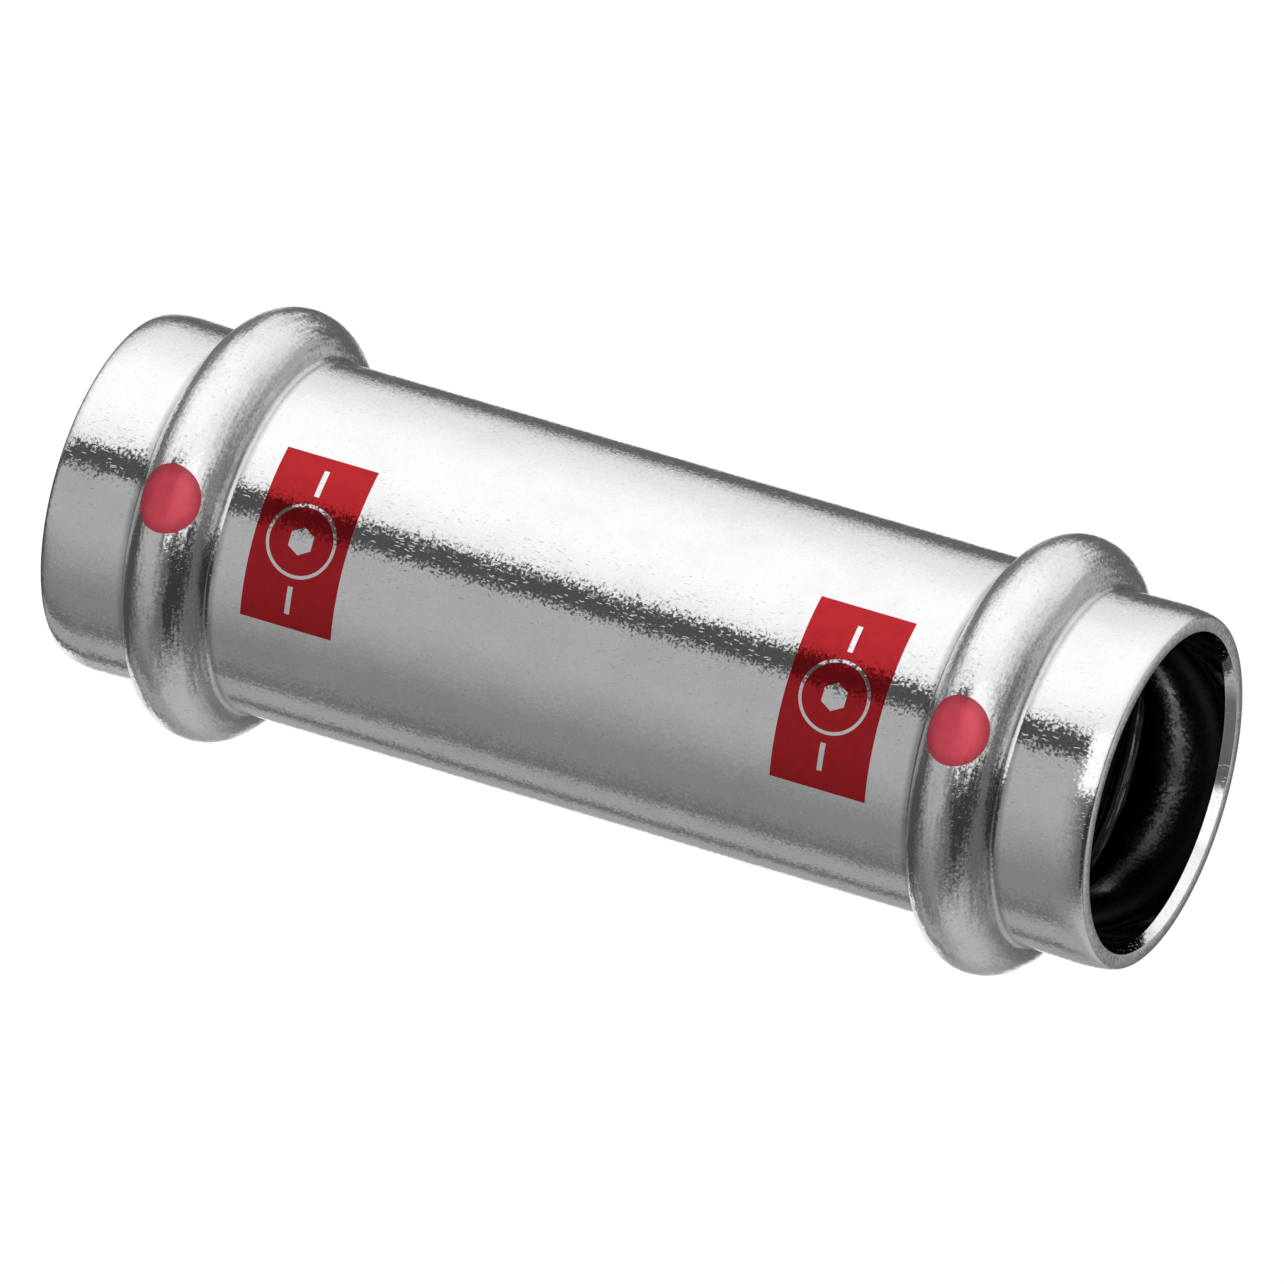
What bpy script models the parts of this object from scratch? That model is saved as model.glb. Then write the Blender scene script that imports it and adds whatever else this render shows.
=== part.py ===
"""Zinc-plated press slip coupling for 22 mm pipe, standing on one end.

Metres, +Z along the bore, with the origin at the middle of the lower end face.
The steel body is one tube with a bead rolled out near each end, and each bead holds a round rubber seal.
"""

import math

import bmesh
import bpy
from mathutils import Matrix

# Bore and tube
PIPE_DIAMETER = 0.0220  # outside diameter of the pipe that slides in
PIPE_CLEARANCE = 0.00015  # radial, between that pipe and the bore
WALL = 0.0015
OVERALL_LENGTH = 0.0800

# Collar between each end face and its bead
COLLAR_LENGTH = 0.00645  # from the end face to the start of the bead
COLLAR_FLARE = 0.0001  # how much wider the collar's radius is at the rim than at the bead
RIM_ROUND_LENGTH = 0.0023  # outer edge of the end face, measured along the tube
RIM_ROUND_DEPTH = 0.00045  # the same edge, measured across the wall
MOUTH_CHAMFER_LENGTH = 0.0010  # inner edge of the end face, measured along the bore
MOUTH_CHAMFER_DEPTH = 0.0002  # the same edge, measured across the wall

# Rolled bead, and the groove that it makes inside
BEAD_HEIGHT = 0.00285  # crest over the barrel
GROOVE_ARC = 0.0016  # radius of the groove's floor in section
BEAD_FILLET = 0.0004  # radius of the hollow corners beside the bead, outside

# Seal in each groove
SEAL_BITE = 0.00035  # how far the seal stands into the bore
SEAL_CLEARANCE = 0.0003  # round the seal in its groove

# Print on the side that faces -Y
INK_THICKNESS = 0.00005
FIELD_LENGTH = 0.0072  # along the tube
FIELD_WIDTH = 0.0131  # round the tube
LOWER_FIELD_HEIGHT = 0.0192  # middle of the lower field, over the lower end
UPPER_FIELD_DROP = 0.0200  # middle of the upper field, under the upper end
DOT_DIAMETER = 0.0047
RING_RADIUS = 0.0025  # middle line of the bare ring in each field
BARE_LINE = 0.0004  # width of the bare ring and bars
HEXAGON_RADIUS = 0.0010  # bare hexagon inside the ring
BAR_GAP = 0.0006  # between the ring and the bar on each side of it
BAR_LENGTH = 0.0020

BORE_RADIUS = PIPE_DIAMETER / 2 + PIPE_CLEARANCE
BARREL_RADIUS = BORE_RADIUS + WALL
COLLAR_RADIUS = BARREL_RADIUS + COLLAR_FLARE
CREST_ARC = GROOVE_ARC + WALL
CREST_CENTRE_RADIUS = BARREL_RADIUS + BEAD_HEIGHT - CREST_ARC
FILLET_CENTRE_RADIUS = BARREL_RADIUS + BEAD_FILLET
FILLET_RISE = FILLET_CENTRE_RADIUS - CREST_CENTRE_RADIUS
BEAD_REACH = math.sqrt((CREST_ARC + BEAD_FILLET) ** 2 - FILLET_RISE**2)  # from crest to fillet's end
BEAD_LEAN = math.degrees(math.atan2(FILLET_RISE, BEAD_REACH))  # where the crest's arc meets a fillet
CREST_FROM_END = COLLAR_LENGTH + BEAD_REACH

# Facets
TURNED_STEPS = 64  # round the tube
RIM_STEPS = 4
CREST_STEPS = 10
FILLET_STEPS = 3
GROOVE_STEPS = 6
GROOVE_FILLET_STEPS = 4
SEAL_STEPS = 12
FIELD_STRIPS = 11
DOT_STRIPS = 7
DOT_SIDES = 24
SHARP_ANGLE = 40  # degrees; edges that turn more than this are drawn sharp

INK = 1  # place of the ink in a printed object's list of materials


def outer_radius(height):
    """Radius of the tube's outer surface at a height on the barrel or on a bead."""
    away = abs(min(height, OVERALL_LENGTH - height) - CREST_FROM_END)
    if away >= BEAD_REACH:
        return BARREL_RADIUS
    if away <= CREST_ARC * math.cos(math.radians(BEAD_LEAN)):
        return CREST_CENTRE_RADIUS + math.sqrt(CREST_ARC**2 - away**2)
    return FILLET_CENTRE_RADIUS - math.sqrt(BEAD_FILLET**2 - (BEAD_REACH - away) ** 2)


def arc(centre, length, height, start, end, steps):
    """Points (along the tube, radius) of an arc whose half axes are length and height, angles in degrees."""
    angles = [math.radians(start + (end - start) * i / steps) for i in range(steps + 1)]
    return [(centre[0] + length * math.cos(a), centre[1] + height * math.sin(a)) for a in angles]


def bead_line(inset, crest_steps, fillet_steps):
    """The bead's line in section from collar to barrel, inset from the outer surface."""
    crest_arc = CREST_ARC - inset
    fillet_arc = BEAD_FILLET + inset
    crest_centre = (CREST_FROM_END, CREST_CENTRE_RADIUS)
    collar_fillet = (CREST_FROM_END - BEAD_REACH, FILLET_CENTRE_RADIUS)
    barrel_fillet = (CREST_FROM_END + BEAD_REACH, FILLET_CENTRE_RADIUS)
    line = arc(collar_fillet, fillet_arc, fillet_arc, -90, -BEAD_LEAN, fillet_steps)
    line += arc(crest_centre, crest_arc, crest_arc, 180 - BEAD_LEAN, BEAD_LEAN, crest_steps)[1:]
    line += arc(barrel_fillet, fillet_arc, fillet_arc, 180 + BEAD_LEAN, 270, fillet_steps)[1:]
    return line


def end_outside():
    """From the flat end face out over the rim, the collar and the bead to the barrel."""
    rim_centre = (RIM_ROUND_LENGTH, COLLAR_RADIUS - RIM_ROUND_DEPTH)
    rim = arc(rim_centre, RIM_ROUND_LENGTH, RIM_ROUND_DEPTH, 180, 90, RIM_STEPS)
    return rim + bead_line(0, CREST_STEPS, FILLET_STEPS)


def end_inside():
    """From the flat end face in over the chamfered mouth, the bore and the groove to the bore again."""
    mouth = [(0, BORE_RADIUS + MOUTH_CHAMFER_DEPTH), (MOUTH_CHAMFER_LENGTH, BORE_RADIUS)]
    return mouth + bead_line(WALL, GROOVE_STEPS, GROOVE_FILLET_STEPS)


def body_section():
    """The closed section of the whole tube, as (height, radius) points."""
    outside = end_outside()
    inside = end_inside()
    upper_outside = [(OVERALL_LENGTH - from_end, radius) for from_end, radius in reversed(outside)]
    upper_inside = [(OVERALL_LENGTH - from_end, radius) for from_end, radius in inside]
    return outside + upper_outside + upper_inside + inside[::-1]


def seal_section_radius():
    """Radius of the largest round section that stays clear of the groove's floor and flanks."""
    innermost = BORE_RADIUS - SEAL_BITE
    floor_radius = CREST_CENTRE_RADIUS + GROOVE_ARC
    by_floor = (floor_radius - SEAL_CLEARANCE - innermost) / 2
    flank_arc = BEAD_FILLET + WALL + SEAL_CLEARANCE
    flank_rise = FILLET_CENTRE_RADIUS - innermost
    by_flank = (BEAD_REACH**2 + flank_rise**2 - flank_arc**2) / (2 * (flank_rise + flank_arc))
    return min(by_floor, by_flank)


def seal_section(height):
    radius = seal_section_radius()
    middle = (height, BORE_RADIUS - SEAL_BITE + radius)
    return arc(middle, radius, radius, 0, 360, SEAL_STEPS)[:-1]


def turn(shape, section):
    """Adds the ring that a closed section of (height, radius) points makes about Z."""
    corners = [shape.verts.new((radius, 0, height)) for height, radius in section]
    loop = [shape.edges.new((corners[i - 1], corners[i])) for i in range(len(corners))]
    spin = {"cent": (0, 0, 0), "axis": (0, 0, 1), "angle": 2 * math.pi, "steps": TURNED_STEPS}
    bmesh.ops.spin(shape, geom=corners + loop, use_merge=True, **spin)


def cut_strips(shape, direction, size, strips):
    """Cuts a flat solid into strips across one direction, so that it can be wrapped round the tube.

    The number of strips is odd, so no cut falls on the tube's own edge at the middle of the print.
    """
    for i in range(1, strips):
        place = [axis * size * (i / strips - 0.5) for axis in direction]
        geometry = shape.verts[:] + shape.edges[:] + shape.faces[:]
        bmesh.ops.bisect_plane(shape, geom=geometry, plane_co=place, plane_no=direction, dist=1e-7)


def wrap_on_tube(shape, height):
    """Bends a flat solid round the tube at a height: its front is the ink, its back is half a wall deep."""
    for corner in shape.verts:
        surface = outer_radius(height + corner.co.z)
        radius = surface + INK_THICKNESS if corner.co.y < 0 else surface - WALL / 2
        angle = corner.co.x / outer_radius(height) - math.pi / 2
        corner.co = (radius * math.cos(angle), radius * math.sin(angle), height + corner.co.z)


def add_object(name, shape, materials):
    bmesh.ops.recalc_face_normals(shape, faces=shape.faces)
    mesh = bpy.data.meshes.new(name)
    shape.to_mesh(mesh)
    shape.free()
    for material in materials:
        mesh.materials.append(material)
    mesh.shade_smooth()
    mesh.set_sharp_from_angle(angle=math.radians(SHARP_ANGLE))
    made = bpy.data.objects.new(name, mesh)
    bpy.context.scene.collection.objects.link(made)
    return made


def as_helper(helper):
    """Keeps an object that only shapes another one out of the picture."""
    helper.hide_render = True
    helper.display_type = "WIRE"
    return helper


def add_boolean(target, operation, other):
    modifier = target.modifiers.new(f"{operation} {other.name}", "BOOLEAN")
    modifier.operation = operation
    modifier.solver = "EXACT"
    modifier.object = other


def make_material(name, color, roughness, metallic):
    material = bpy.data.materials.new(name)
    material.use_nodes = True
    material.diffuse_color = (*color, 1)
    shader = material.node_tree.nodes["Principled BSDF"]
    shader.inputs["Base Color"].default_value = (*color, 1)
    shader.inputs["Roughness"].default_value = roughness
    shader.inputs["Metallic"].default_value = metallic
    return material


def make_turned(name, section, material):
    shape = bmesh.new()
    turn(shape, section)
    return add_object(name, shape, [material])


def make_bare_marks(name, height):
    """The cutter for the bare lines in a field: a hexagon in a ring, with a bar on each side."""
    depth = BARREL_RADIUS + BEAD_HEIGHT  # from the tube's axis to well outside the ink
    midway = Matrix.Translation((0, 0, depth / 2))
    shape = bmesh.new()
    inner, outer = RING_RADIUS - BARE_LINE / 2, RING_RADIUS + BARE_LINE / 2
    turn(shape, [(0, inner), (0, outer), (depth, outer), (depth, inner)])
    hexagon = {"segments": 6, "radius1": HEXAGON_RADIUS, "radius2": HEXAGON_RADIUS, "depth": depth}
    turned = midway @ Matrix.Rotation(math.pi / 6, 4, "Z")
    bmesh.ops.create_cone(shape, cap_ends=True, matrix=turned, **hexagon)
    for side in (-1, 1):
        place = Matrix.Translation((side * (outer + BAR_GAP + BAR_LENGTH / 2), 0, 0))
        bar = Matrix.Diagonal((BAR_LENGTH, BARE_LINE, depth, 1))
        bmesh.ops.create_cube(shape, size=1, matrix=midway @ place @ bar)
    marks = as_helper(add_object(name, shape, []))
    marks.location = (0, 0, height)
    marks.rotation_euler = (math.pi / 2, 0, 0)
    return marks


def make_field(name, height, materials):
    """A printed rectangle on the barrel, with bare marks cut through it."""
    shape = bmesh.new()
    bmesh.ops.create_cube(shape, size=1, matrix=Matrix.Diagonal((FIELD_WIDTH, WALL, FIELD_LENGTH, 1)))
    cut_strips(shape, (1, 0, 0), FIELD_WIDTH, FIELD_STRIPS)
    wrap_on_tube(shape, height)
    for face in shape.faces:
        face.material_index = INK
    field = as_helper(add_object(name, shape, materials))
    add_boolean(field, "DIFFERENCE", make_bare_marks(f"{name}_bare_marks", height))
    return field


def make_dot(name, height, materials):
    """A printed dot on a bead's crest."""
    shape = bmesh.new()
    disc = {"segments": DOT_SIDES, "radius1": DOT_DIAMETER / 2, "radius2": DOT_DIAMETER / 2, "depth": WALL}
    bmesh.ops.create_cone(shape, cap_ends=True, matrix=Matrix.Rotation(math.pi / 2, 4, "X"), **disc)
    cut_strips(shape, (1, 0, 0), DOT_DIAMETER, DOT_STRIPS)
    cut_strips(shape, (0, 0, 1), DOT_DIAMETER, DOT_STRIPS)
    wrap_on_tube(shape, height)
    for face in shape.faces:
        face.material_index = INK
    return as_helper(add_object(name, shape, materials))


def make_body(steel, ink):
    body = make_turned("coupling_body", body_section(), steel)
    body.data.materials.append(ink)
    finishes = [steel, ink]
    prints = [
        make_field("lower_field", LOWER_FIELD_HEIGHT, finishes),
        make_field("upper_field", OVERALL_LENGTH - UPPER_FIELD_DROP, finishes),
        make_dot("lower_dot", CREST_FROM_END, finishes),
        make_dot("upper_dot", OVERALL_LENGTH - CREST_FROM_END, finishes),
    ]
    for printed in prints:
        add_boolean(body, "UNION", printed)
        printed.parent = body
    return body


def main():
    for existing in list(bpy.data.objects):
        bpy.data.objects.remove(existing, do_unlink=True)
    steel = make_material("zinc_plated_steel", (0.80, 0.80, 0.81), roughness=0.28, metallic=1.0)
    rubber = make_material("black_rubber", (0.015, 0.015, 0.016), roughness=0.55, metallic=0.0)
    ink = make_material("red_ink", (0.50, 0.02, 0.04), roughness=0.40, metallic=0.0)
    root = bpy.data.objects.new("press_coupling", None)
    bpy.context.scene.collection.objects.link(root)
    pieces = [
        make_body(steel, ink),
        make_turned("seal_ring_lower", seal_section(CREST_FROM_END), rubber),
        make_turned("seal_ring_upper", seal_section(OVERALL_LENGTH - CREST_FROM_END), rubber),
    ]
    for piece in pieces:
        piece.parent = root


main()
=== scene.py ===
import math

import bpy
from mathutils import Matrix, Vector


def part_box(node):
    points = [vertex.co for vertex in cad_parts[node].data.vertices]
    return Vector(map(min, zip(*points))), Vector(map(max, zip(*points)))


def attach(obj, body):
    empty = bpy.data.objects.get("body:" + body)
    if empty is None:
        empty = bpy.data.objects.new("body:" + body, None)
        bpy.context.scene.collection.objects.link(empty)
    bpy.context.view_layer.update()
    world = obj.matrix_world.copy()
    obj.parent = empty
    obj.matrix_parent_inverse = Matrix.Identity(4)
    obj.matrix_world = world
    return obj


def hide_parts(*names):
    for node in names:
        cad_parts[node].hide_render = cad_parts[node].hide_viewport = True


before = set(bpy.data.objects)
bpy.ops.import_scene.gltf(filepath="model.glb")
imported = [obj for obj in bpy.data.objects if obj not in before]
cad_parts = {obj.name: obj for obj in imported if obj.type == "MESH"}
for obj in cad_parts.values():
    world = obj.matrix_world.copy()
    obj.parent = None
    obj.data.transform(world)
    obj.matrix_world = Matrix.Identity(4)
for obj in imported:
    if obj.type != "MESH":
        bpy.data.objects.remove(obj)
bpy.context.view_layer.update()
bodyLow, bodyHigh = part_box("coupling_body")
print("frame loaded:", ", ".join(sorted(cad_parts)))

# Steel tube: metres, angles in degrees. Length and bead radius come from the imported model.
tube = {
    "length": bodyHigh.z,
    "beadRadius": bodyHigh.x,
    "boreRadius": 0.01115,
    "wall": 0.0015,
    "collarLength": 0.00645,
    "collarFlare": 0.0001,
    "rimRoundLength": 0.0023,
    "rimRoundDepth": 0.00045,
    "mouthChamferLength": 0.00075,
    "mouthChamferDepth": 0.00022,
    "mouthEdgeRound": 0.00003,
    "grooveArc": 0.0016,
    "beadFillet": 0.0004,
    "sides": 256,
    "degreesPerStep": 4.0,
}
barrelRadius = tube["boreRadius"] + tube["wall"]
collarRadius = barrelRadius + tube["collarFlare"]
crestArc = tube["grooveArc"] + tube["wall"]
crestCentreRadius = tube["beadRadius"] - crestArc
filletCentreRadius = barrelRadius + tube["beadFillet"]
filletRise = filletCentreRadius - crestCentreRadius
# how far a bead reaches from its crest, and where the crest's arc meets a fillet
beadReach = math.sqrt((crestArc + tube["beadFillet"]) ** 2 - filletRise**2)
beadLean = math.degrees(math.atan2(filletRise, beadReach))
crestFromEnd = tube["collarLength"] + beadReach


# points (height, radius) of an arc with half axes along and across the tube
def arcPoints(centre, along, across, start, end, steps=None):
    steps = steps or max(2, math.ceil(abs(end - start) / tube["degreesPerStep"]))
    angles = [math.radians(start + (end - start) * i / steps) for i in range(steps + 1)]
    return [(centre[0] + along * math.cos(a), centre[1] + across * math.sin(a)) for a in angles]


# collar fillet, crest and barrel fillet of one bead, inset from the outer surface
def beadLine(inset):
    fillet, crest = tube["beadFillet"] + inset, crestArc - inset
    collarSide = (crestFromEnd - beadReach, filletCentreRadius)
    barrelSide = (crestFromEnd + beadReach, filletCentreRadius)
    top = (crestFromEnd, crestCentreRadius)
    line = arcPoints(collarSide, fillet, fillet, -90, -beadLean)
    line += arcPoints(top, crest, crest, 180 - beadLean, beadLean)[1:]
    line += arcPoints(barrelSide, fillet, fillet, 180 + beadLean, 270)[1:]
    return line


# one end's outside, from the flat face over the rim to the barrel
def outsideLine():
    rimCentre = (tube["rimRoundLength"], collarRadius - tube["rimRoundDepth"])
    rim = arcPoints(rimCentre, tube["rimRoundLength"], tube["rimRoundDepth"], 180, 90, steps=16)
    return rim + beadLine(0)


# the same end's inside: edge of the face, chamfered mouth, groove, bore
def insideLine():
    edge, depth = tube["mouthEdgeRound"], tube["mouthChamferDepth"]
    chamferEnd = tube["mouthChamferLength"]
    faceRadius = tube["boreRadius"] + depth
    line = arcPoints((edge, faceRadius + edge), edge, edge, -180, -90, steps=4)
    for share in (0.05, 0.95, 1.0):  # close rings keep the chamfer flat up to its ends
        line.append((edge + (chamferEnd - edge) * share, faceRadius - depth * share))
    return line + [(chamferEnd * 1.05, tube["boreRadius"])] + beadLine(tube["wall"])


def tubeSection():
    outside, inside, length = outsideLine(), insideLine(), tube["length"]
    upperOutside = [(length - height, radius) for height, radius in reversed(outside)]
    upperInside = [(length - height, radius) for height, radius in inside]
    return (outside + upperOutside + upperInside + inside[::-1])[::-1]


# Rubber seal rings, one in each bead's groove
seal = {
    "bite": 0.00035,  # how far it stands into the bore
    "clearance": 0.0003,
    "sides": 192,
    "sectionSides": 40,
}


def sealRadius():
    innermost = tube["boreRadius"] - seal["bite"]
    byFloor = (crestCentreRadius + tube["grooveArc"] - seal["clearance"] - innermost) / 2
    flankArc = tube["beadFillet"] + tube["wall"] + seal["clearance"]
    flankRise = filletCentreRadius - innermost
    byFlank = (beadReach**2 + flankRise**2 - flankArc**2) / (2 * (flankRise + flankArc))
    return min(byFloor, byFlank)


def sealSection(height):
    radius = sealRadius()
    middle = (height, tube["boreRadius"] - seal["bite"] + radius)
    return arcPoints(middle, radius, radius, 0, 360, steps=seal["sectionSides"])[:-1]


# Red print on the side that faces -Y
printed = {
    "thickness": 0.00003,
    "sunk": 0.00001,  # how deep the ink's back lies in the steel
    "lowerField": (0.0124, 0.00702, 0.00013),  # round the tube, along it, off the middle round it
    "upperField": (0.0132, 0.0072, 0.00004),
    "lowerFieldHeight": 0.0192,
    "upperFieldDrop": 0.0200,
    "dot": (0.0049, 0.0049, -0.0001),
    "ringRadius": 0.0025,
    "ringLine": 0.00024,
    "barLine": 0.0004,
    "hexagonRadius": 0.0010,
    "barGap": 0.0006,
    "barLength": 0.0020,
    "cutDepth": 0.002,  # of what cuts the bare marks, well past the ink
}


# Nodes


def addSocket(tree, name, kind, direction="INPUT"):
    return tree.interface.new_socket(name, in_out=direction, socket_type=kind)


def addNode(tree, kind, values=None, **settings):
    node = tree.nodes.new(kind)
    for name, value in settings.items():
        setattr(node, name, value)
    for name, value in (values or {}).items():
        node.inputs[name].default_value = value
    return node


# a Math node; each part is a number or an output socket
def calc(tree, operation, *parts, clamp=False):
    node = addNode(tree, "ShaderNodeMath", operation=operation, use_clamp=clamp)
    for place, part in enumerate(parts):
        if isinstance(part, (int, float)):
            node.inputs[place].default_value = part
        else:
            tree.links.new(part, node.inputs[place])
    return node.outputs[0]


def newGeometryTree(name, inputs):
    tree = bpy.data.node_groups.new(name, "GeometryNodeTree")
    addSocket(tree, "Geometry", "NodeSocketGeometry")
    for socketName, kind in inputs:
        addSocket(tree, socketName, kind)
    addSocket(tree, "Geometry", "NodeSocketGeometry", "OUTPUT")
    return tree, addNode(tree, "NodeGroupInput"), addNode(tree, "NodeGroupOutput")


# smooth faces, sharp edges over an angle, then realized instances and the finish
def endTree(tree, geometry, finish, output, sharpAngle=None, inside=None):
    links = tree.links
    smooth = addNode(tree, "GeometryNodeSetShadeSmooth")
    links.new(geometry, smooth.inputs["Geometry"])
    geometry = smooth.outputs[0]
    if sharpAngle is not None:
        flat = {"Shade Smooth": False}
        sharp = addNode(tree, "GeometryNodeSetShadeSmooth", flat, domain="EDGE")
        turn = addNode(tree, "GeometryNodeInputMeshEdgeAngle")
        links.new(geometry, sharp.inputs["Geometry"])
        links.new(
            calc(tree, "GREATER_THAN", turn.outputs["Unsigned Angle"], math.radians(sharpAngle)),
            sharp.inputs["Selection"],
        )
        geometry = sharp.outputs[0]
    realize = addNode(tree, "GeometryNodeRealizeInstances")
    material = addNode(tree, "GeometryNodeSetMaterial")
    links.new(geometry, realize.inputs[0])
    links.new(realize.outputs[0], material.inputs["Geometry"])
    links.new(finish, material.inputs["Material"])
    if inside:
        faces, insideFinish = inside
        second = addNode(tree, "GeometryNodeSetMaterial")
        links.new(material.outputs[0], second.inputs["Geometry"])
        links.new(faces, second.inputs["Selection"])
        links.new(insideFinish, second.inputs["Material"])
        material = second
    links.new(material.outputs[0], output.inputs[0])


# faces that look at the tube's axis and lie deeper than a depth from both ends
def facesInside(tree, length, depth):
    links = tree.links
    place = addNode(tree, "ShaderNodeSeparateXYZ")
    look = addNode(tree, "ShaderNodeSeparateXYZ")
    links.new(addNode(tree, "GeometryNodeInputPosition").outputs[0], place.inputs[0])
    links.new(addNode(tree, "GeometryNodeInputNormal").outputs[0], look.inputs[0])
    outward = calc(
        tree,
        "ADD",
        calc(tree, "MULTIPLY", place.outputs[0], look.outputs[0]),
        calc(tree, "MULTIPLY", place.outputs[1], look.outputs[1]),
    )
    fromTop = calc(tree, "SUBTRACT", length, place.outputs[2])
    deep = calc(tree, "GREATER_THAN", calc(tree, "MINIMUM", place.outputs[2], fromTop), depth)
    return calc(tree, "MULTIPLY", calc(tree, "LESS_THAN", outward, 0.0), deep)


# section (x out from the path, y down) swept round a circle about Z
def makeLatheTree():
    tree, group, made = newGeometryTree(
        "turned ring",
        [
            ("Path Radius", "NodeSocketFloat"),
            ("Sides", "NodeSocketInt"),
            ("Length", "NodeSocketFloat"),
            ("Mouth Depth", "NodeSocketFloat"),
            ("Finish", "NodeSocketMaterial"),
            ("Inside Finish", "NodeSocketMaterial"),
        ],
    )
    given, links = group.outputs, tree.links
    section = addNode(tree, "GeometryNodeMeshToCurve")
    path = addNode(tree, "GeometryNodeCurvePrimitiveCircle")
    sweep = addNode(tree, "GeometryNodeCurveToMesh")
    links.new(given["Geometry"], section.inputs["Mesh"])
    links.new(given["Sides"], path.inputs["Resolution"])
    links.new(given["Path Radius"], path.inputs["Radius"])
    links.new(path.outputs["Curve"], sweep.inputs["Curve"])
    links.new(section.outputs["Curve"], sweep.inputs["Profile Curve"])
    inside = (facesInside(tree, given["Length"], given["Mouth Depth"]), given["Inside Finish"])
    endTree(tree, sweep.outputs["Mesh"], given["Finish"], made, inside=inside)
    return tree


# bends a flat plate (front at -y) round the tube, over a crest arc where there is one
def wrapRound(tree, geometry, given):
    links = tree.links
    split = addNode(tree, "ShaderNodeSeparateXYZ")
    links.new(addNode(tree, "GeometryNodeInputPosition").outputs[0], split.inputs[0])
    x, y, z = split.outputs
    onBead = calc(tree, "GREATER_THAN", given["Crest Arc"], 0.0)
    crest = calc(tree, "MAXIMUM", given["Crest Arc"], 1e-6)
    lean = calc(tree, "DIVIDE", calc(tree, "MULTIPLY", z, onBead), crest)
    arc = calc(tree, "SUBTRACT", given["Crest Arc"], y)
    rise = calc(tree, "MULTIPLY", arc, calc(tree, "COSINE", lean))
    radius = calc(tree, "ADD", given["Base Radius"], rise)
    alongBarrel = calc(tree, "MULTIPLY", z, calc(tree, "SUBTRACT", 1.0, onBead))
    along = calc(tree, "ADD", alongBarrel, calc(tree, "MULTIPLY", arc, calc(tree, "SINE", lean)))
    middle = calc(tree, "ADD", given["Base Radius"], given["Crest Arc"])
    angle = calc(tree, "DIVIDE", calc(tree, "ADD", x, given["Off Middle"]), middle)
    join = addNode(tree, "ShaderNodeCombineXYZ")
    links.new(calc(tree, "MULTIPLY", radius, calc(tree, "SINE", angle)), join.inputs[0])
    across = calc(tree, "MULTIPLY", radius, calc(tree, "COSINE", angle))
    links.new(calc(tree, "MULTIPLY", across, -1.0), join.inputs[1])
    links.new(calc(tree, "ADD", along, given["Height"]), join.inputs[2])
    place = addNode(tree, "GeometryNodeSetPosition")
    links.new(geometry, place.inputs["Geometry"])
    links.new(join.outputs[0], place.inputs["Position"])
    return place.outputs[0]


# a cylinder along Z laid along Y
def turnedToFront(tree, geometry):
    move = addNode(tree, "GeometryNodeTransform", {"Rotation": (math.pi / 2, 0, 0)})
    tree.links.new(geometry, move.inputs["Geometry"])
    return move.outputs[0]


def movedBy(tree, geometry, offset):
    move = addNode(tree, "GeometryNodeTransform")
    tree.links.new(geometry, move.inputs["Geometry"])
    tree.links.new(offset, move.inputs["Translation"])
    return move.outputs[0]


def cutFrom(tree, geometry, *cutters):
    cut = addNode(tree, "GeometryNodeMeshBoolean", operation="DIFFERENCE", solver="EXACT")
    tree.links.new(geometry, cut.inputs["Mesh 1"])
    for cutter in cutters:
        tree.links.new(cutter, cut.inputs["Mesh 2"])
    return cut.outputs[0]


def partWithin(tree, geometry, shape):
    cut = addNode(tree, "GeometryNodeMeshBoolean", operation="INTERSECT", solver="EXACT")
    tree.links.new(geometry, cut.inputs["Mesh 2"])
    tree.links.new(shape, cut.inputs["Mesh 2"])
    return cut.outputs[0]


def joined(tree, *parts):
    join = addNode(tree, "GeometryNodeJoinGeometry")
    for part in parts:
        tree.links.new(part, join.inputs[0])
    return join.outputs[0]


# a cylinder along Y, through the plate
def plugThrough(tree, radius, sides):
    values = {"Vertices": sides, "Side Segments": 1, "Fill Segments": 1}
    plug = addNode(tree, "GeometryNodeMeshCylinder", values)
    plug.inputs["Depth"].default_value = printed["cutDepth"]
    tree.links.new(radius, plug.inputs["Radius"])
    return turnedToFront(tree, plug.outputs["Mesh"])


printInputs = [
    ("Width", "NodeSocketFloat"),
    ("Length", "NodeSocketFloat"),
    ("Off Middle", "NodeSocketFloat"),
    ("Thickness", "NodeSocketFloat"),
    ("Sunk", "NodeSocketFloat"),
    ("Base Radius", "NodeSocketFloat"),
    ("Crest Arc", "NodeSocketFloat"),
    ("Height", "NodeSocketFloat"),
    ("Ring Radius", "NodeSocketFloat"),
    ("Ring Line", "NodeSocketFloat"),
    ("Bar Line", "NodeSocketFloat"),
    ("Hexagon Radius", "NodeSocketFloat"),
    ("Bar Gap", "NodeSocketFloat"),
    ("Bar Length", "NodeSocketFloat"),
    ("Finish", "NodeSocketMaterial"),
]


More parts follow.
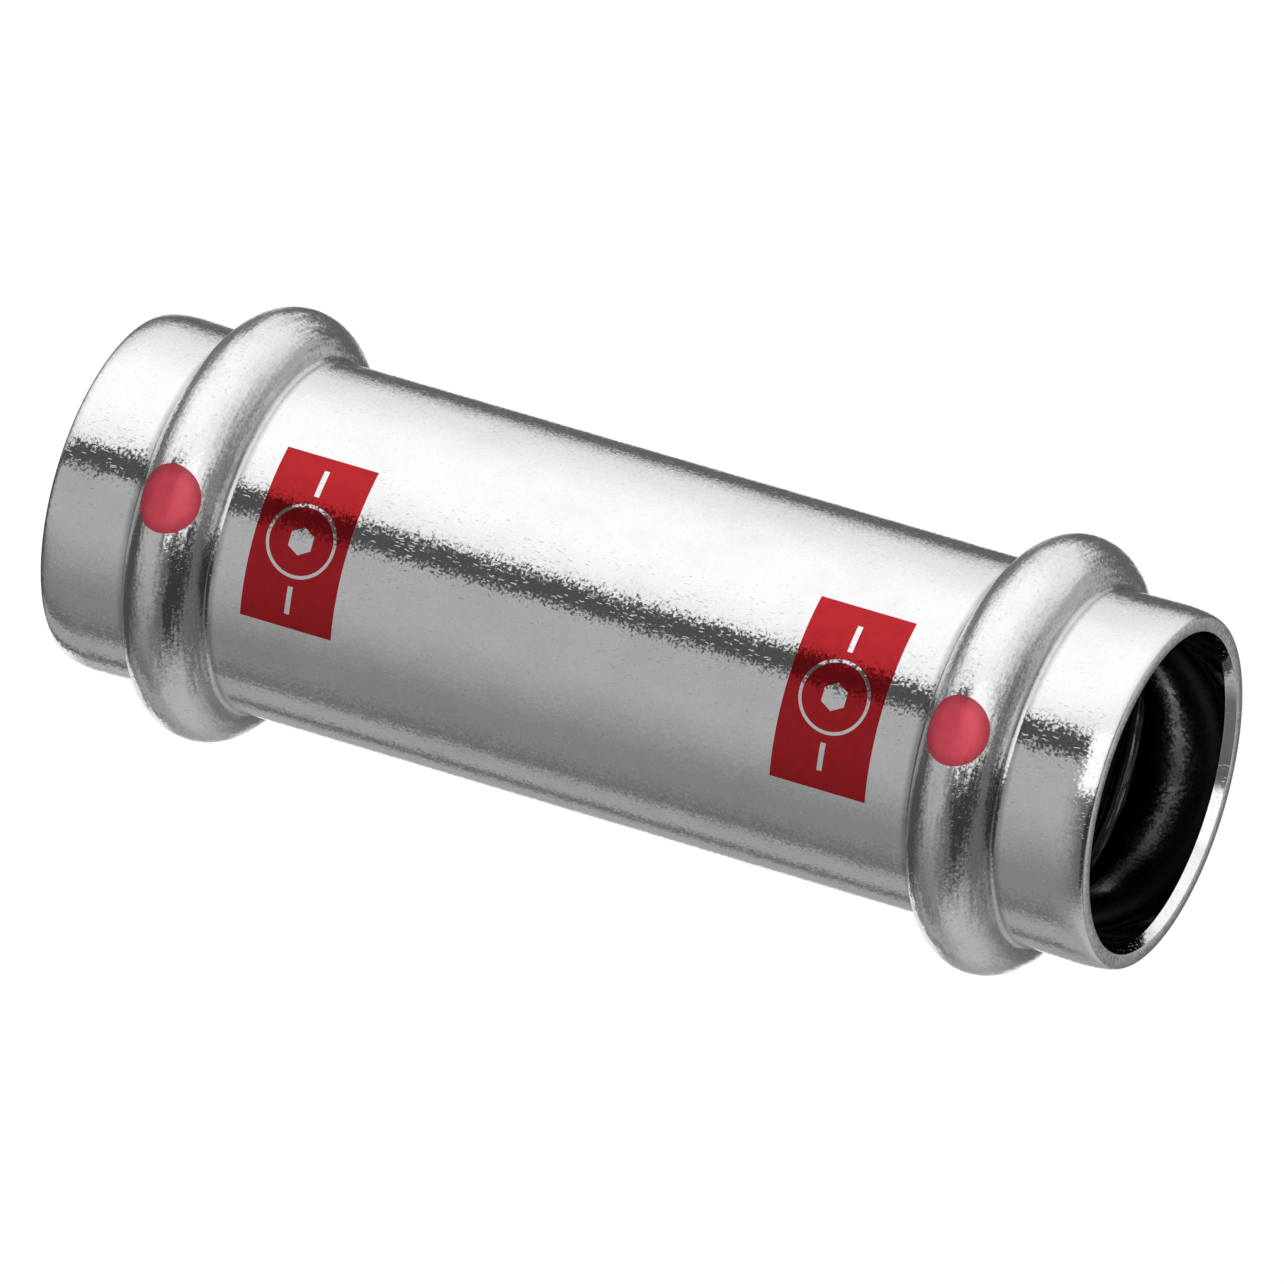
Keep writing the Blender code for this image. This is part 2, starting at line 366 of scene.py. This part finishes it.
# a film of ink: rectangle with a bare ring, hexagon and two bars, bent round the barrel
def makeFieldTree():
    tree, group, made = newGeometryTree("printed field", printInputs)
    given, links = group.outputs, tree.links
    size = addNode(tree, "ShaderNodeCombineXYZ")
    depth = calc(tree, "ADD", given["Thickness"], given["Sunk"])
    links.new(given["Width"], size.inputs[0])
    links.new(depth, size.inputs[1])
    links.new(given["Length"], size.inputs[2])
    steps = {"Vertices X": 66, "Vertices Y": 2, "Vertices Z": 36}
    plate = addNode(tree, "GeometryNodeMeshCube", steps)
    links.new(size.outputs[0], plate.inputs["Size"])
    halfLine = calc(tree, "MULTIPLY", given["Ring Line"], 0.5)
    outerRadius = calc(tree, "ADD", given["Ring Radius"], halfLine)
    innerRadius = calc(tree, "SUBTRACT", given["Ring Radius"], halfLine)
    outer = plugThrough(tree, outerRadius, 96)
    inner = plugThrough(tree, innerRadius, 96)
    hexagon = plugThrough(tree, given["Hexagon Radius"], 6)
    disc = cutFrom(tree, partWithin(tree, plate.outputs["Mesh"], inner), hexagon)
    marks = [outer]
    reach = calc(tree, "ADD", outerRadius, given["Bar Gap"])
    middle = calc(tree, "ADD", reach, calc(tree, "MULTIPLY", given["Bar Length"], 0.5))
    barSize = addNode(tree, "ShaderNodeCombineXYZ", {1: printed["cutDepth"]})
    links.new(given["Bar Length"], barSize.inputs[0])
    links.new(given["Bar Line"], barSize.inputs[2])
    for side in (-1.0, 1.0):
        bar = addNode(tree, "GeometryNodeMeshCube")
        links.new(barSize.outputs[0], bar.inputs["Size"])
        offset = addNode(tree, "ShaderNodeCombineXYZ")
        links.new(calc(tree, "MULTIPLY", middle, side), offset.inputs[0])
        marks.append(movedBy(tree, bar.outputs["Mesh"], offset.outputs[0]))
    cut = cutFrom(tree, plate.outputs["Mesh"], *marks)
    endPrint(tree, joined(tree, cut, disc), given, made)
    return tree


# a film of ink: a round dot, bent round the bead's crest
def makeDotTree():
    tree, group, made = newGeometryTree("printed dot", printInputs)
    given, links = group.outputs, tree.links
    steps = {"Vertices": 72, "Side Segments": 1, "Fill Segments": 12}
    disc = addNode(tree, "GeometryNodeMeshCylinder", steps)
    links.new(calc(tree, "MULTIPLY", given["Width"], 0.5), disc.inputs["Radius"])
    links.new(calc(tree, "ADD", given["Thickness"], given["Sunk"]), disc.inputs["Depth"])
    endPrint(tree, turnedToFront(tree, disc.outputs["Mesh"]), given, made)
    return tree


# sinks the plate's back into the steel, bends it and finishes it
def endPrint(tree, plate, given, made):
    shift = addNode(tree, "ShaderNodeCombineXYZ")
    proud = calc(tree, "SUBTRACT", given["Sunk"], given["Thickness"])
    tree.links.new(calc(tree, "MULTIPLY", proud, 0.5), shift.inputs[1])
    bent = wrapRound(tree, movedBy(tree, plate, shift.outputs[0]), given)
    endTree(tree, bent, given["Finish"], made, sharpAngle=35)


# runs a tree on a start mesh with its named inputs and keeps the result as a plain mesh
def runTree(name, tree, startMesh, values):
    start = bpy.data.objects.new(f"{name} start", startMesh)
    bpy.context.scene.collection.objects.link(start)
    modifier = start.modifiers.new(tree.name, "NODES")
    modifier.node_group = tree
    for item in tree.interface.items_tree:
        if item.in_out == "INPUT" and item.name in values:
            modifier[item.identifier] = values[item.name]
    graph = bpy.context.evaluated_depsgraph_get()
    mesh = bpy.data.meshes.new_from_object(start.evaluated_get(graph))
    mesh.name = name
    bpy.data.objects.remove(start)
    piece = bpy.data.objects.new(name, mesh)
    bpy.context.scene.collection.objects.link(piece)
    return piece


# Finishes

zincLook = {
    "light": (0.88, 0.88, 0.89, 1),
    "dull": (0.82, 0.82, 0.83, 1),
    "speck": (0.52, 0.52, 0.53, 1),
    "specksPerMetre": 3600,
    "speckShare": (0.3, 0.7),  # on the barrel and on the beads
    "creaseShade": (0.36, 0.36, 0.37, 1),  # painted shade, darker where a bead meets the tube
    "upperCreaseShade": 0.4,  # how much of that painted shade shows on a bead's upward-facing side
    "roughness": (0.07, 0.11),
    "beadRoughness": (0.15, 0.23),  # the rolled beads are coarser than the barrel
    "cloudsPerMetre": 260,
    "grainPerMetre": 4600,
    "grainTurn": 0.24,  # how far the grain turns the surface, per unit of noise
    "lipGrain": 0.25,  # share of the grain on the mouth's chamfer, which is cut smooth
    "beadGrain": 1.5,
    "beadReach": 0.0040,
    "streakCells": (380, 380, 3600),  # rolling marks that run round the beads
    "streakTurn": 0.34,
    "ripplePerMetre": 620,
    "rippleHeight": 0.0000160,
    "scratchCells": (12000, 12000, 1500),
    "scratchTurns": ((0, 0.25, 0), (0, -0.40, 0.2), (0.1, 0.80, 0)),
    "scratchShare": 0.055,
    "scratchHeight": 0.0000070,
    "scratchBends": (800, 0.0005),  # per metre, and how far they move a scratch
}


def newMaterial(name):
    material = bpy.data.materials.new(name)
    material.use_nodes = True
    tree = material.node_tree
    shader = tree.nodes["Principled BSDF"]
    return material, tree, shader


def objectPlace(tree):
    return addNode(tree, "ShaderNodeTexCoord").outputs["Object"]


def noise(tree, place, scale, detail=2.0, roughness=0.5):
    node = addNode(
        tree, "ShaderNodeTexNoise", {"Scale": scale, "Detail": detail, "Roughness": roughness}
    )
    tree.links.new(place, node.inputs["Vector"])
    return node.outputs[0]


def fromTo(tree, value, low, high, newLow, newHigh, smooth=False):
    node = addNode(
        tree,
        "ShaderNodeMapRange",
        {"From Min": low, "From Max": high, "To Min": newLow, "To Max": newHigh},
        interpolation_type="SMOOTHSTEP" if smooth else "LINEAR",
    )
    tree.links.new(value, node.inputs["Value"])
    return node.outputs["Result"]


# height in metres over the layer below it
def addBump(tree, height, metres, below=None):
    node = addNode(tree, "ShaderNodeBump", {"Strength": 1.0, "Distance": 1.0})
    tree.links.new(calc(tree, "MULTIPLY", height, metres), node.inputs["Height"])
    if below is not None:
        tree.links.new(below, node.inputs["Normal"])
    return node.outputs["Normal"]


def radiusOf(tree, place):
    split = addNode(tree, "ShaderNodeSeparateXYZ")
    tree.links.new(place, split.inputs[0])
    squares = [calc(tree, "MULTIPLY", part, part) for part in split.outputs[:2]]
    return calc(tree, "SQRT", calc(tree, "ADD", *squares))


# a vector moved by noise, whose amount is a number or a socket
def shifted(tree, vector, place, scale, amount, across=None):
    links = tree.links
    values = {"Scale": scale, "Detail": 2.0, "Roughness": 0.6}
    cloud = addNode(tree, "ShaderNodeTexNoise", noise_dimensions="4D" if across else "3D")
    for name, value in values.items():
        cloud.inputs[name].default_value = value
    if across:
        links.new(across, cloud.inputs["W"])
    centred = addNode(tree, "ShaderNodeVectorMath", {1: (0.5, 0.5, 0.5)}, operation="SUBTRACT")
    turn = addNode(tree, "ShaderNodeVectorMath", operation="SCALE")
    total = addNode(tree, "ShaderNodeVectorMath", operation="ADD")
    links.new(place, cloud.inputs["Vector"])
    links.new(cloud.outputs["Color"], centred.inputs[0])
    links.new(centred.outputs[0], turn.inputs[0])
    if isinstance(amount, float):
        turn.inputs["Scale"].default_value = amount
    else:
        links.new(amount, turn.inputs["Scale"])
    links.new(turn.outputs[0], total.inputs[0])
    links.new(vector, total.inputs[1])
    return total.outputs[0]


# short fine lines: long thin cells, of which few are used
def scratches(tree, place):
    found = None
    perMetre, reach = zincLook["scratchBends"]
    place = shifted(tree, place, place, perMetre, reach)
    for turn in zincLook["scratchTurns"]:
        mapping = addNode(
            tree, "ShaderNodeMapping", {"Rotation": turn, "Scale": zincLook["scratchCells"]}
        )
        tree.links.new(place, mapping.inputs["Vector"])
        cells = addNode(tree, "ShaderNodeTexVoronoi", {"Scale": 1.0, "Randomness": 1.0})
        tree.links.new(mapping.outputs[0], cells.inputs["Vector"])
        chance = addNode(tree, "ShaderNodeSeparateXYZ")
        tree.links.new(cells.outputs["Color"], chance.inputs[0])
        used = calc(tree, "LESS_THAN", chance.outputs[0], zincLook["scratchShare"])
        line = fromTo(tree, cells.outputs["Distance"], 0.10, 0.45, 1.0, 0.0, smooth=True)
        line = calc(tree, "MULTIPLY", line, used)
        found = line if found is None else calc(tree, "MAXIMUM", found, line)
    return found


# distance along the tube from the nearer bead's crest
def fromCrest(tree, place):
    split = addNode(tree, "ShaderNodeSeparateXYZ")
    tree.links.new(place, split.inputs[0])
    middle = tube["length"] / 2
    fromMiddle = calc(tree, "ABSOLUTE", calc(tree, "SUBTRACT", split.outputs[2], middle))
    return calc(tree, "ABSOLUTE", calc(tree, "SUBTRACT", fromMiddle, middle - crestFromEnd))


# 1 on the rolled beads, 0 on the barrel and the collars
def beadShare(tree, place):
    reach = zincLook["beadReach"]
    return fromTo(tree, fromCrest(tree, place), reach * 0.75, reach, 1.0, 0.0, smooth=True)


# painted shade: 1 in the bead's foot, 0 on its crest and away from it, less on faces turned up
def creaseShadeShare(tree, place):
    away = fromCrest(tree, place)
    onBead = fromTo(tree, away, beadReach * 0.55, beadReach * 0.92, 0.0, 1.0, smooth=True)
    onTube = fromTo(tree, away, beadReach, beadReach * 1.13, 1.0, 0.0, smooth=True)
    look = addNode(tree, "ShaderNodeSeparateXYZ")
    tree.links.new(addNode(tree, "ShaderNodeTexCoord").outputs["Normal"], look.inputs[0])
    # faces turned down take the full painted shade, faces turned up only part of it
    sideShare = fromTo(tree, look.outputs[2], -0.3, 0.3, 1.0, zincLook["upperCreaseShade"])
    return calc(tree, "MULTIPLY", calc(tree, "MULTIPLY", onBead, onTube), sideShare)


# fine grain turns the normal itself, so it looks the same at any picture size
def zincGrain(tree, place, strength=1.0):
    share = beadShare(tree, place)
    onBeads = fromTo(tree, share, 0.0, 1.0, 1.0, zincLook["beadGrain"])
    amount = calc(tree, "MULTIPLY", onBeads, strength)
    ripple = noise(tree, place, zincLook["ripplePerMetre"], 1.0, 0.5)
    normal = addBump(tree, calc(tree, "MULTIPLY", ripple, amount), zincLook["rippleHeight"])
    grain = calc(tree, "MULTIPLY", amount, zincLook["grainTurn"])
    normal = shifted(tree, normal, place, zincLook["grainPerMetre"], grain)
    cells = addNode(tree, "ShaderNodeMapping", {"Scale": zincLook["streakCells"]})
    tree.links.new(place, cells.inputs["Vector"])
    outward = calc(tree, "MULTIPLY", radiusOf(tree, place), float(zincLook["streakCells"][2]))
    streak = calc(tree, "MULTIPLY", share, strength)
    streak = calc(tree, "MULTIPLY", streak, zincLook["streakTurn"])
    normal = shifted(tree, normal, cells.outputs[0], 1.0, streak, across=outward)
    even = addNode(tree, "ShaderNodeVectorMath", operation="NORMALIZE")
    tree.links.new(normal, even.inputs[0])
    return even.outputs[0]


def blend(tree, factor, first, second):
    node = addNode(tree, "ShaderNodeMix", data_type="RGBA")
    tree.links.new(factor, node.inputs["Factor"])
    for part, socket in ((first, node.inputs["A"]), (second, node.inputs["B"])):
        if isinstance(part, tuple):
            socket.default_value = part
        else:
            tree.links.new(part, socket)
    return node.outputs["Result"]


def makeZincSteel():
    material, tree, shader = newMaterial("bright zinc on steel")
    place = objectPlace(tree)
    clouds = noise(tree, place, zincLook["cloudsPerMetre"], 4.0, 0.6)
    share = beadShare(tree, place)
    cloudy = fromTo(tree, clouds, 0.45, 0.75, 0.0, 1.0)
    dulled = blend(tree, cloudy, zincLook["light"], zincLook["dull"])
    specks = noise(tree, place, zincLook["specksPerMetre"], 3.0, 0.6)
    specks = fromTo(tree, specks, 0.60, 0.74, 0.0, 1.0)
    specks = calc(tree, "MULTIPLY", specks, fromTo(tree, share, 0.0, 1.0, *zincLook["speckShare"]))
    marked = blend(tree, specks, dulled, zincLook["speck"])
    # painted shade in each bead's foot, made patchy by the clouds
    patchy = fromTo(tree, clouds, 0.35, 0.60, 0.65, 1.0)
    creaseShade = calc(tree, "MULTIPLY", creaseShadeShare(tree, place), patchy)
    finished = blend(tree, creaseShade, marked, zincLook["creaseShade"])
    tree.links.new(finished, shader.inputs["Base Color"])
    smooth = fromTo(tree, clouds, 0.35, 0.70, *zincLook["roughness"])
    rough = fromTo(tree, clouds, 0.35, 0.70, *zincLook["beadRoughness"])
    roughness = addNode(tree, "ShaderNodeMix", data_type="FLOAT")
    for part, socket in ((share, "Factor"), (smooth, "A"), (rough, "B")):
        tree.links.new(part, roughness.inputs[socket])
    tree.links.new(roughness.outputs["Result"], shader.inputs["Roughness"])
    lip = tube["boreRadius"] + tube["mouthChamferDepth"]
    radius = radiusOf(tree, place)
    strength = fromTo(tree, radius, lip, lip + 0.0001, zincLook["lipGrain"], 1.0)
    normal = zincGrain(tree, place, strength)
    normal = addBump(tree, scratches(tree, place), zincLook["scratchHeight"], normal)
    tree.links.new(normal, shader.inputs["Normal"])
    shader.inputs["Metallic"].default_value = 1.0
    return material


boreLook = {
    "colour": (0.52, 0.52, 0.53, 1),
    "dark": (0.38, 0.38, 0.39, 1),
    "roughness": (0.06, 0.11),
    "patchesPerMetre": 420,
    "grain": 0.2,
}


# bare, dull steel inside
def makeBoreSteel():
    material, tree, shader = newMaterial("dull steel inside")
    place = objectPlace(tree)
    patches = noise(tree, place, boreLook["patchesPerMetre"], 4.0, 0.6)
    patchy = fromTo(tree, patches, 0.4, 0.7, 0.0, 1.0)
    colour = blend(tree, patchy, boreLook["colour"], boreLook["dark"])
    roughness = fromTo(tree, patches, 0.3, 0.7, *boreLook["roughness"])
    tree.links.new(colour, shader.inputs["Base Color"])
    tree.links.new(roughness, shader.inputs["Roughness"])
    tree.links.new(zincGrain(tree, place, boreLook["grain"]), shader.inputs["Normal"])
    shader.inputs["Metallic"].default_value = 1.0
    return material


inkLook = {
    "field": (0.475, 0.018, 0.025, 1),
    "fieldMetallic": 0.82,  # thin ink, so the steel shines through it
    "fieldRoughness": (0.09, 0.14),
    "fieldGrain": 0.9,
    "dot": (0.76, 0.070, 0.112, 1),
    "dotMetallic": 0.18,
    "dotRoughness": (0.26, 0.36),
    "dotGrain": 0.4,
    "dotRimShade": (0.0014, 0.0025, 0.62),  # painted shade round the dot's edge: its colour darkens between two radii, down to a share
    "cloudsPerMetre": 900,
}


# the ink on one kind of print, "field" or "dot"
def makeInk(name, kind, rim=None):
    material, tree, shader = newMaterial(name)
    place = objectPlace(tree)
    clouds = noise(tree, place, inkLook["cloudsPerMetre"], 3.0, 0.6)
    tint = addNode(tree, "ShaderNodeHueSaturation")
    tint.inputs["Color"].default_value = inkLook[kind]
    depth = fromTo(tree, clouds, 0.3, 0.7, 0.92, 1.06)
    # painted shade: the dot's colour darkens towards its edge, where the bead curves away
    if rim:
        across = addNode(tree, "ShaderNodeSeparateXYZ")
        tree.links.new(place, across.inputs[0])
        offsets = (across.outputs[0], fromCrest(tree, place))
        squares = [calc(tree, "MULTIPLY", offset, offset) for offset in offsets]
        fromDot = calc(tree, "SQRT", calc(tree, "ADD", *squares))
        inner, outer, share = rim
        darker = fromTo(tree, fromDot, inner, outer, 1.0, share, smooth=True)
        depth = calc(tree, "MULTIPLY", depth, darker)
    tree.links.new(depth, tint.inputs["Value"])
    tree.links.new(tint.outputs["Color"], shader.inputs["Base Color"])
    roughness = fromTo(tree, clouds, 0.3, 0.7, *inkLook[kind + "Roughness"])
    tree.links.new(roughness, shader.inputs["Roughness"])
    tree.links.new(zincGrain(tree, place, inkLook[kind + "Grain"]), shader.inputs["Normal"])
    shader.inputs["Metallic"].default_value = inkLook[kind + "Metallic"]
    return material


rubberLook = {
    "colour": (0.013, 0.013, 0.014, 1),
    "roughness": (0.42, 0.58),
    "grainPerMetre": 9000,
    "grainHeight": 0.0000020,
}


def makeRubber():
    material, tree, shader = newMaterial("black seal rubber")
    place = objectPlace(tree)
    grain = noise(tree, place, rubberLook["grainPerMetre"], 3.0, 0.6)
    roughness = fromTo(tree, grain, 0.3, 0.7, *rubberLook["roughness"])
    tree.links.new(roughness, shader.inputs["Roughness"])
    tree.links.new(addBump(tree, grain, rubberLook["grainHeight"]), shader.inputs["Normal"])
    shader.inputs["Base Color"].default_value = rubberLook["colour"]
    return material


zincSteel = makeZincSteel()
boreSteel = makeBoreSteel()
fieldInk = makeInk("thin red ink", "field")
dotInk = makeInk("thick red ink", "dot", rim=inkLook["dotRimShade"])
sealRubber = makeRubber()
print("finishes made")


# Pieces


def sectionMesh(name, section, pathRadius):
    mesh = bpy.data.meshes.new(name)
    corners = [(radius - pathRadius, -height, 0) for height, radius in section]
    mesh.from_pydata(corners, [(i, (i + 1) % len(corners)) for i in range(len(corners))], [])
    return mesh


def makeTurned(name, section, sides, finish, insideFinish):
    values = {
        "Path Radius": tube["boreRadius"],
        "Sides": sides,
        "Length": tube["length"],
        "Mouth Depth": tube["mouthChamferLength"],
        "Finish": finish,
        "Inside Finish": insideFinish,
    }
    return runTree(name, latheTree, sectionMesh(name, section, tube["boreRadius"]), values)


def makePrint(name, tree, height, size, baseRadius, arc, finish):
    width, length, offMiddle = size
    values = {
        "Width": width,
        "Length": length,
        "Off Middle": offMiddle,
        "Thickness": printed["thickness"],
        "Sunk": printed["sunk"],
        "Base Radius": baseRadius,
        "Crest Arc": arc,
        "Height": height,
        "Ring Radius": printed["ringRadius"],
        "Ring Line": printed["ringLine"],
        "Bar Line": printed["barLine"],
        "Hexagon Radius": printed["hexagonRadius"],
        "Bar Gap": printed["barGap"],
        "Bar Length": printed["barLength"],
        "Finish": finish,
    }
    return runTree(name, tree, bpy.data.meshes.new(name), values)


latheTree = makeLatheTree()
fieldTree = makeFieldTree()
dotTree = makeDotTree()

steelTube = makeTurned("steel_tube", tubeSection(), tube["sides"], zincSteel, boreSteel)
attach(steelTube, "root")
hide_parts("coupling_body")
print("tube made:", len(steelTube.data.polygons), "faces")

for name, node, height in (
    ("seal_lower", "seal_ring_lower", crestFromEnd),
    ("seal_upper", "seal_ring_upper", tube["length"] - crestFromEnd),
):
    ring = makeTurned(name, sealSection(height), seal["sides"], sealRubber, sealRubber)
    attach(ring, "root")
    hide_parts(node)
print("seals made")

lowerField = (printed["lowerField"], barrelRadius, 0.0, fieldInk)
upperField = (printed["upperField"], barrelRadius, 0.0, fieldInk)
dot = (printed["dot"], crestCentreRadius, crestArc, dotInk)
for name, tree, height, shape in (
    ("print_field_lower", fieldTree, printed["lowerFieldHeight"], lowerField),
    ("print_field_upper", fieldTree, tube["length"] - printed["upperFieldDrop"], upperField),
    ("print_dot_lower", dotTree, crestFromEnd, dot),
    ("print_dot_upper", dotTree, tube["length"] - crestFromEnd, dot),
):
    film = makePrint(name, tree, height, *shape)
    film.visible_glossy = False  # the beads beside it stay clear of its mirrored colour
    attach(film, "root")
    print(name, "made:", len(film.data.polygons), "faces")


# Studio

# Softboxes and flags that the steel mirrors. Azimuth runs from the -Y side towards +X. Each has
# from, to and soft edge in azimuth and again in elevation, in degrees, and its brightness.
studio = {
    "walls": 0.15,
    "zones": [
        ("ceiling", -180, 180, 30, 70, 110, 30, 0.16),
        ("ground", -10, 170, 24, -122, -6, 40, 0.07),
        ("grey sweep far", 30, 104, 44, -52, -6, 30, 0.24),
        ("grey sweep", -60, 54, 56, -66, -7, 30, 0.45),
        ("dark card", 20, 80, 16, 16, 72, 14, 0.04),
        ("pale card", 90, 158, 32, -12, 41, 30, 0.50),
        ("lower panel", 112, 135, 12, -46, -4, 16, 0.37),
        ("side panel", 143, 176, 12, -40, -2, 12, 0.37),
        ("back light", 168, 200, 8, -38, -7, 8, 1.10),
        ("back light low", 147, 178, 8, -41, -25, 5, 0.95),
        ("back panel", -188, -142, 30, 24, 60, 26, 0.58),
        ("softbox spill", -137, -18, 32, -44, 58, 48, 0.84),
        ("softbox", -103, -27, 52, -62, 22, 46, 1.12),
        ("low flag", -186, -128, 16, -66, -30, 12, 0.18),
        ("dark flag", -171, -142, 10, -27, 17, 10, 0.13),
        ("strip top", -12, 13, 10, 30, 81, 18, 0.58),
        ("front strip", -32, 13, 11, -6, 56, 22, 0.95),
        ("strip middle", -26, 12, 10, -8, 32, 10, 1.16),
        ("slot", -22, -5, 5, -90, -10, 4, 0.08),
    ],
    "ambient": 0.14,  # what the matt surfaces get from all round
    "lamps": [
        ("key lamp", (-0.40, -0.88, 0.34), 0.8, 6.2),  # place, width and power
        ("fill lamp", (0.70, -0.35, 0.75), 0.8, 1.0),
    ],
    "floorRadius": 3.0,
    "floorDrop": 0.00005,  # keeps the floor clear of the tube's end face
    "floorGlow": 1.13,
    "floorGlowShare": 0.88,
}


# 1 between two limits of an angle, 0 outside, with a soft edge
def between(tree, angle, low, high, edge, wraps=False):
    off = calc(tree, "SUBTRACT", angle, (low + high) / 2)
    if wraps:
        off = calc(tree, "WRAP", off, 180.0, -180.0)
    half = (high - low) / 2
    off = calc(tree, "ABSOLUTE", off)
    return fromTo(tree, off, half - edge / 2, half + edge / 2, 1.0, 0.0, smooth=True)


def studioBrightness(tree):
    split = addNode(tree, "ShaderNodeSeparateXYZ")
    tree.links.new(addNode(tree, "ShaderNodeTexCoord").outputs["Generated"], split.inputs[0])
    x, y, z = split.outputs
    azimuth = calc(tree, "DEGREES", calc(tree, "ARCTAN2", x, calc(tree, "MULTIPLY", y, -1.0)))
    elevation = calc(tree, "DEGREES", calc(tree, "ARCSINE", z))
    level = None
    for name, azFrom, azTo, azEdge, elFrom, elTo, elEdge, brightness in studio["zones"]:
        inside = between(tree, elevation, elFrom, elTo, elEdge)
        if azTo - azFrom < 360:
            beside = between(tree, azimuth, azFrom, azTo, azEdge, wraps=True)
            inside = calc(tree, "MULTIPLY", inside, beside)
        mix = addNode(tree, "ShaderNodeMix", {"B": brightness}, data_type="FLOAT", label=name)
        tree.links.new(inside, mix.inputs["Factor"])
        if level is None:
            mix.inputs["A"].default_value = studio["walls"]
        else:
            tree.links.new(level, mix.inputs["A"])
        level = mix.outputs["Result"]
    return level


# white for the camera; the steel mirrors the same white with the softboxes and flags in it
def makeWorld():
    world = bpy.data.worlds.new("studio")
    bpy.context.scene.world = world
    world.use_nodes = True
    tree = world.node_tree
    background = tree.nodes["Background"]
    ray = addNode(tree, "ShaderNodeLightPath")
    camera, glossy = ray.outputs["Is Camera Ray"], ray.outputs["Is Glossy Ray"]
    mirrored = calc(tree, "MAXIMUM", glossy, ray.outputs["Is Transmission Ray"])
    seen = calc(tree, "MAXIMUM", camera, mirrored)
    sight = addNode(tree, "ShaderNodeMix", data_type="FLOAT")
    tree.links.new(camera, sight.inputs["Factor"])
    tree.links.new(studioBrightness(tree), sight.inputs["A"])
    sight.inputs["B"].default_value = 1.0
    strength = addNode(tree, "ShaderNodeMix", {"A": studio["ambient"]}, data_type="FLOAT")
    tree.links.new(seen, strength.inputs["Factor"])
    tree.links.new(sight.outputs["Result"], strength.inputs["B"])
    tree.links.new(strength.outputs["Result"], background.inputs["Strength"])
    background.inputs["Color"].default_value = (1, 1, 1, 1)


# white floor that still takes a faint shadow
def makeFloor():
    material, tree, shader = newMaterial("white floor")
    ray = addNode(tree, "ShaderNodeLightPath")
    shader.inputs["Base Color"].default_value = (0.9, 0.9, 0.9, 1)
    shader.inputs["Roughness"].default_value = 0.9
    shader.inputs["Specular IOR Level"].default_value = 0.0
    matt = addNode(tree, "ShaderNodeMixShader")
    glow = addNode(tree, "ShaderNodeEmission", {"Strength": studio["floorGlow"]})
    share = calc(tree, "MULTIPLY", ray.outputs["Is Camera Ray"], studio["floorGlowShare"])
    tree.links.new(share, matt.inputs[0])
    tree.links.new(shader.outputs[0], matt.inputs[1])
    tree.links.new(glow.outputs[0], matt.inputs[2])
    tree.links.new(matt.outputs[0], tree.nodes["Material Output"].inputs["Surface"])
    mesh = bpy.data.meshes.new("floor")
    reach, height = studio["floorRadius"], -studio["floorDrop"]
    sides = ((-1, -1), (1, -1), (1, 1), (-1, 1))
    corners = [(x * reach, y * reach, height) for x, y in sides]
    mesh.from_pydata(corners, [], [(0, 1, 2, 3)])
    mesh.materials.append(material)
    floor = bpy.data.objects.new("floor", mesh)
    bpy.context.scene.collection.objects.link(floor)
    floor.visible_glossy = False  # the steel mirrors the studio's own zones there


def addLamp(name, place, size, power):
    light = bpy.data.lights.new(name, "AREA")
    light.shape = "SQUARE"
    light.size = size
    light.energy = power
    lamp = bpy.data.objects.new(name, light)
    lamp.location = place
    aim = Vector((0, 0, tube["length"] / 2)) - lamp.location
    lamp.rotation_euler = aim.to_track_quat("-Z", "Y").to_euler()
    lamp.visible_glossy = False
    bpy.context.scene.collection.objects.link(lamp)


makeWorld()
makeFloor()
for lamp in studio["lamps"]:
    addLamp(*lamp)
print("studio made")

# Camera at the photograph's angle: it stands on the -Y side and is turned on its side, so the
# tube's upper end points right
cameraView = {
    "elevation": 22.014,
    "turn": 106.413,
    "distance": 1.3479,
    "lens": 551.1,
    "offCentre": (-0.000214, 0.0002215),  # of the tube's middle in the picture, right and up
}


def makeCamera():
    data = bpy.data.cameras.new("camera")
    data.lens = cameraView["lens"]
    data.sensor_width = 36
    data.clip_start, data.clip_end = 0.05, 20
    camera = bpy.data.objects.new("camera", data)
    upright = Matrix.Rotation(math.radians(90 - cameraView["elevation"]), 4, "X")
    turned = upright @ Matrix.Rotation(math.radians(cameraView["turn"]), 4, "Z")
    right, up = cameraView["offCentre"]
    back = turned @ Vector((-right, -up, cameraView["distance"]))
    middle = Vector((0, 0, tube["length"] / 2))
    camera.matrix_world = Matrix.Translation(middle + back) @ turned
    bpy.context.scene.collection.objects.link(camera)
    bpy.context.scene.camera = camera


makeCamera()
bpy.context.scene.view_settings.view_transform = "Standard"
